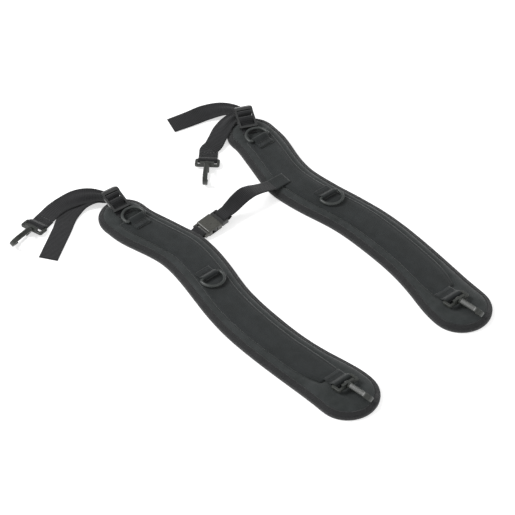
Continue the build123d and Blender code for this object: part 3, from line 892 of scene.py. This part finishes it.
def make_pad(side):
    """A pad's cushion, binding, strip and the seams that hold them."""
    body = f"{side}_pad"
    shape = PadShape(f"{side}_edge_binding")
    strip_ring = base_ring(f"{side}_center_strip")
    cushion = make_cushion(side, shape, strip_ring)
    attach(cushion, body)
    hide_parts(f"{side}_pad_lining", f"{side}_pad_foam", f"{side}_pad_cover")

    binding = make_binding(side, shape)
    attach(binding, body)
    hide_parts(f"{side}_edge_binding")

    strip, levels, sides = make_strip(side, strip_ring)
    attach(strip, body)
    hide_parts(f"{side}_center_strip")

    seams = Stitching()
    rim = list(zip(shape.at(RIM_SEAM * MM), shape.run))
    seams.row([(x, y, (tape_top(RIM_SEAM, run / MM) + 0.02) * MM) for (x, y), run in rim],
              closed=True)
    seams.row([(x, y, (RIM_LOW - 0.02) * MM) for (x, y), _ in rim], up=(0, 0, -1), closed=True)
    inset = STRIP_SEAM * MM
    for edge, inwards in ((0, inset), (1, -inset)):
        line = [(sides[i][edge] + inwards, y, 12.52 * MM) for i, y in enumerate(levels)]
        seams.row(line[4:-4])
    for i in (7, len(levels) - 8):
        left, right = sides[i]
        y = levels[i]
        seams.row([(left + inset, y, 12.9 * MM), ((left + right) / 2, y, 13.1 * MM),
                   (right - inset, y, 12.9 * MM)])
    stitched = seams.piece(f"{side}_pad_stitching")
    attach(stitched, body)


# --- Webbing ------------------------------------------------------------------------------
def round_bar(matrix, radius, back, width):
    """Rows for webbing that comes in over a bar, round its front and back beneath, in a frame.

    back is how far the two plies run behind the bar."""
    middle = radius + WEB / 2
    low = -middle
    high = low + PLY_GAP
    rows = [(put(matrix, 0, -back, high), width), (put(matrix, 0, -back * 0.75, high), width)]
    rows.append((put(matrix, 0, -middle * 2.3, high + 0.2), width))
    rows.append((put(matrix, 0, -middle * 1.15, (high + middle) / 2 + 0.5), width))
    rows += [(point, width) for point in arc(matrix, middle, (80, 50, 20, -10, -40, -70, -92))]
    rows.append((put(matrix, 0, -middle * 1.3, low), width))
    rows.append((put(matrix, 0, -back * 0.6, low), width))
    rows.append((put(matrix, 0, -back, low), width))
    return [(*point, size) for point, size in rows]


def sewn_top(radius):
    """The height of stitches on the two plies that run back from a bar, in the bar's frame."""
    return -radius + PLY_GAP + 0.02


def web_piece(name, rows, body, node=None, cloth="webbing", **options):
    """A ribbon that rides on a body, if one is given, and replaces a CAD node, if one is given."""
    piece = ribbon(name, rows, MATERIALS[cloth], **options)
    if body:
        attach(piece, body)
    if node:
        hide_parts(node)
    return piece


def make_ring_tab(side, which):
    """The sewn tab that holds a D-ring."""
    matrix = place(f"{side}_{which}_ring_flip")
    across = matrix.to_3x3() @ Vector((1, 0, 0))
    rows = round_bar(matrix, RING_BAR_R, RING_TAB_LEG, RING_TAB_WIDTH)
    name = f"{side}_{which}_ring_tab"
    web_piece(f"{name}_webbing", rows, f"{side}_pad", name, "strip", across=across, step=0.9)
    seams = Stitching()
    top = sewn_top(RING_BAR_R)
    seams.bar_tack(matrix, -9.6, 9.6, -7.6, top)
    seams.box(matrix, -9, 9, -14.6, -9.8, top, cross=False)
    piece = seams.piece(f"{name}_stitching")
    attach(piece, f"{side}_pad")


def make_lower_loop(side):
    """The folded loop that holds a lower snap hook, with its end tucked in under the strip."""
    matrix = place(f"{side}_lower_hook_tip")
    across = matrix.to_3x3() @ Vector((1, 0, 0))
    rows = round_bar(matrix, HOOK_BAR_R, LOWER_LEG + 2.5, STRAP_WIDTH)
    rows[0] = (*put(matrix, 0, -LOWER_LEG - 3.5, -3.8), STRAP_WIDTH)
    rows[1] = (*put(matrix, 0, -LOWER_LEG + 1, -2.5), STRAP_WIDTH)
    name = f"{side}_lower_hook_loop"
    web_piece(f"{name}_webbing", rows, f"{side}_pad", name, "strip", across=across, step=1.0)
    seams = Stitching()
    top = sewn_top(HOOK_BAR_R)
    seams.box(matrix, -10.4, 10.4, -13.6, -8.4, top - 0.1, cross=False)
    piece = seams.piece(f"{name}_stitching")
    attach(piece, f"{side}_pad")


def make_lock_webbing(side):
    """The sewn loop that holds a ladder lock, and the webbing threaded over its middle bar."""
    base = place(f"{side}_lock_lift", LOCK_PITCH)
    lock = base @ Matrix.Translation(LOCK_AT * MM)
    across = lock.to_3x3() @ Vector((1, 0, 0))
    level = place(f"{side}_lock_lift")
    middle = LOCK_BAR_R + WEB / 2
    rows = [put(level, 0, -9.5, -1.5), put(level, 0, -5, -1.2)]
    rows += [put(lock, 0, -12.5, -2.6), put(lock, 0, -7.8, -2.4)]
    rows += arc(lock, middle, (118, 90, 50, 10, -30, -70))
    rows += [put(lock, 0, -4.6, -4.1), put(lock, 0, -12.2, -4.2)]
    rows += [put(level, 0, -5, -2.6), put(level, 0, -9.5, -2.8)]
    piece = web_piece(f"{side}_adjuster_loop_webbing", [(*p, LOCK_WEB_WIDTH) for p in rows], None,
                      f"{side}_adjuster_loop", across=across, step=0.9)
    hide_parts(f"{side}_adjuster_tab")
    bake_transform(piece)

    front, back = LOCK_BAR_GAP + middle, LOCK_BAR_GAP - middle
    rows = [put(lock, 0, back, -6.6), put(lock, 0, back, -3.2)]
    rows += arc(lock, middle, (180, 140, 100, 60, 20, 0), LOCK_BAR_GAP)
    rows += [put(lock, 0, front, -3.0), put(lock, 0, front + 0.6, -6.2)]
    web_piece(f"{side}_threaded_strap", [(*p, LOCK_WEB_WIDTH - 0.4) for p in rows],
              f"{side}_lock_body", f"{side}_threaded_webbing", across=across, step=0.9)

    seams = Stitching()
    seams.box(level, -7.4, 7.4, -9, -4, -0.2, cross=False)
    piece = seams.piece(f"{side}_adjuster_loop_stitching")
    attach(piece, f"{side}_pad")


# Each free strap as (x, y, z, width, roll in degrees, gather) in millimetres, from its ladder
# lock outwards and from midway between the pads
HOOK_STRAPS = {
    "left": [(-113.4, 245, 14.8, 17, 0, 0.9), (-118, 254.5, 13.8, 17.5, -8, 1.5),
             (-127, 266.5, 12.0, 20.5, -22, 1.6), (-141, 277.5, 8.8, 24.5, -16, 0.9),
             (-158, 283, 5.2, 25, -6, 0.2), (-175, 283.3, 3.0, 25, 0, 0)],
    "right": [(124.8, 257.0, 14.6, 17, 0, 0.9), (118, 263, 13.5, 18, 0, 1.3),
              (106, 263, 12.0, 21.5, 6, 1.0), (90, 258, 9.5, 25, 5, 0.4),
              (74, 250, 6.0, 25, 3, 0.1), (62, 244.5, 3.8, 25, 0, 0)],
}
TAILS = {
    "left": [(-113.6, 246, 12.4, 17, 0, -0.8), (-123, 260, 9.0, 18.5, 0, -0.9),
             (-141, 268.5, 4.4, 22, 0, -0.6), (-164, 264, 1.8, 25, 0, 0),
             (-192, 245.5, 1.0, 25, 0, 0), (-234, 217, 1.0, 25, 0, 0)],
    "right": [(125.2, 258.5, 16.6, 17, 0, 0.8), (124.5, 272, 14.0, 19, -6, 1.2),
              (115, 289.5, 10, 23, -12, 0.9), (98, 301, 6.5, 25, -15, 0.2),
              (73, 307.5, 4.5, 25, -12, 0), (46.5, 314, 3.2, 25, -8, 0)],
}


def make_straps(side):
    """The hook strap, folded round the snap hook's bar, and the loose tail."""
    hook = place(f"{side}_strap_hook_tip")
    folded = round_bar(hook, HOOK_BAR_R, STRAP_LEG, STRAP_WIDTH)
    behind = (*put(hook, 0, -STRAP_LEG - 6, -HOOK_BAR_R + 0.5), STRAP_WIDTH)
    strap = ribbon(f"{side}_hook_strap", laid(HOOK_STRAPS[side]) + [behind, folded[0]],
                   MATERIALS["webbing"])
    loop = ribbon(f"{side}_hook_strap_fold", folded, MATERIALS["webbing"],
                  across=hook.to_3x3() @ Vector((1, 0, 0)), step=1.0)
    tail = ribbon(f"{side}_strap_tail", laid(TAILS[side]), MATERIALS["webbing"])
    for piece, row in ((strap, HOOK_STRAPS[side][2]), (tail, TAILS[side][2])):
        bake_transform(piece)
    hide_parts(f"{side}_adjuster_webbing")
    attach(loop, f"{side}_strap_body")
    seams = Stitching()
    top = sewn_top(HOOK_BAR_R)
    seams.box(hook, -10.2, 10.2, -17.6, -9.4, top)
    piece = seams.piece(f"{side}_hook_strap_stitching")
    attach(piece, f"{side}_strap_body")


def make_sternum():
    """The socket's anchor, the webbing round the plug's bar, the arch and its sewn end."""
    socket = place("sternum_socket_swing")
    across = socket.to_3x3() @ Vector((1, 0, 0))
    middle = BUCKLE_BAR_R + WEB / 2
    anchor = [put(socket, 0, -15.5, -0.9), put(socket, 0, -9, -0.9), put(socket, 0, -4.2, 0.6)]
    anchor += arc(socket, middle, (96, 60, 20, -20, -60, -92))
    anchor += [put(socket, 0, -4.5, -2.4), put(socket, 0, -9, -2.3), put(socket, 0, -15.5, -2.3)]
    web_piece("sternum_anchor_webbing", [(*p, STERNUM_WIDTH) for p in anchor], "left_pad",
              "sternum_anchor_loop", across=across, step=0.9)

    buckle = place("sternum_socket_swing", BUCKLE_PITCH)
    turned = Matrix.Rotation(math.pi, 4, "Z")
    plug_bar = buckle @ Matrix.Translation(Vector((0, PLUG_BAR_Y, 0)) * MM) @ turned
    across = plug_bar.to_3x3() @ Vector((1, 0, 0))
    rows = [put(plug_bar, 0, -9, 3.2), put(plug_bar, 0, -4.5, 2.6)]
    rows += arc(plug_bar, middle, (100, 60, 20, -20, -60, -92))
    rows += [put(plug_bar, 0, -4.5, -2.4), put(plug_bar, 0, -9.5, 0.2)]
    web_piece("sternum_plug_webbing", [(*p, STERNUM_WIDTH - 0.4) for p in rows[::-1]],
              "sternum_plug_body", across=across, step=0.9)

    # Rows as in HOOK_STRAPS, without gather
    arch = [(-14, 126, 14.2, 19.6, 2), (-6, 126, 17.3, 19.8, 16), (4, 126, 22, 20, 28),
            (16, 126.5, 25, 20, 26), (28, 127, 24, 20, 10), (40, 126.8, 20.6, 20, 0),
            (52, 126.4, 17, 20, -3), (64, 126, 13.8, 20, 0)]
    strap = ribbon("sternum_webbing", laid(arch), MATERIALS["webbing"], folds=0.5)
    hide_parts("sternum_strap")
    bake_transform(strap)
    sewn = [(62.5, 126, 13.9, 20, 0), (70, 125.8, 14.0, 20, 0), (78, 125.4, 14.45, 20, 0),
            (87, 124.8, 14.5, 20, 0)]
    web_piece("sternum_sewn_webbing", laid(sewn), "right_pad", "sternum_sewn_end", "strip")


# --- Hardware -----------------------------------------------------------------------------
def dress_hardware():
    """Gives each carried-over CAD solid its material."""
    kinds = [("gate_pin", "steel"), ("_upper_ring", "ring"), ("_middle_ring", "ring"),
             ("hook_", "hook"), ("ladder_lock", "lock"), ("sternum_socket", "buckle"),
             ("sternum_", "plug")]
    for name, node in NODES.items():
        if node.hide_render:
            continue
        material = next(MATERIALS[kind] for part, kind in kinds if part in name)
        node.data.materials.clear()
        node.data.materials.append(material)


# --- Floor and light ----------------------------------------------------------------------
def add_stage():
    """A pale floor that fills the view."""
    half = 6.0
    corners = [(-half, -half, 0), (half, -half, 0), (half, half, 0), (-half, half, 0)]
    floor = mesh_piece("floor", corners, [(0, 1, 2, 3)], [])
    material = bpy.data.materials.new("floor")
    material.use_nodes = True
    main = material.node_tree.nodes["Principled BSDF"]
    main.inputs["Base Color"].default_value = (0.82, 0.82, 0.82, 1)
    main.inputs["Roughness"].default_value = 0.9
    main.inputs["Specular IOR Level"].default_value = 0.1
    main.inputs["Emission Color"].default_value = (1, 1, 1, 1)
    main.inputs["Emission Strength"].default_value = 0.55
    floor.data.materials.append(material)


def add_light(name, at, size, power):
    """A round lamp that faces the middle of the harness."""
    light = bpy.data.lights.new(name, "AREA")
    light.shape = "DISK"
    light.size = size
    light.energy = power
    lamp = bpy.data.objects.new(name, light)
    bpy.context.scene.collection.objects.link(lamp)
    lamp.location = at
    lamp.rotation_euler = (-Vector(at)).to_track_quat("-Z", "Y").to_euler()


def add_lights():
    world = bpy.data.worlds.new("studio")
    world.use_nodes = True
    background = world.node_tree.nodes["Background"]
    background.inputs["Color"].default_value = (1, 1, 1, 1)
    background.inputs["Strength"].default_value = 0.5
    bpy.context.scene.world = world
    bpy.context.scene.view_settings.view_transform = "Standard"
    add_light("key", (-1.5, 1.5, 2.3), size=1.3, power=62)
    add_light("fill", (0.2, -2.2, 1.8), size=1.4, power=10)


# --- Assembly -----------------------------------------------------------------------------
add_camera()
MATERIALS = make_materials()
for side in ("left", "right"):
    make_pad(side)
    for which in ("upper", "middle"):
        make_ring_tab(side, which)
    make_lower_loop(side)
    make_lock_webbing(side)
    make_straps(side)
make_sternum()
dress_hardware()
add_stage()
add_lights()
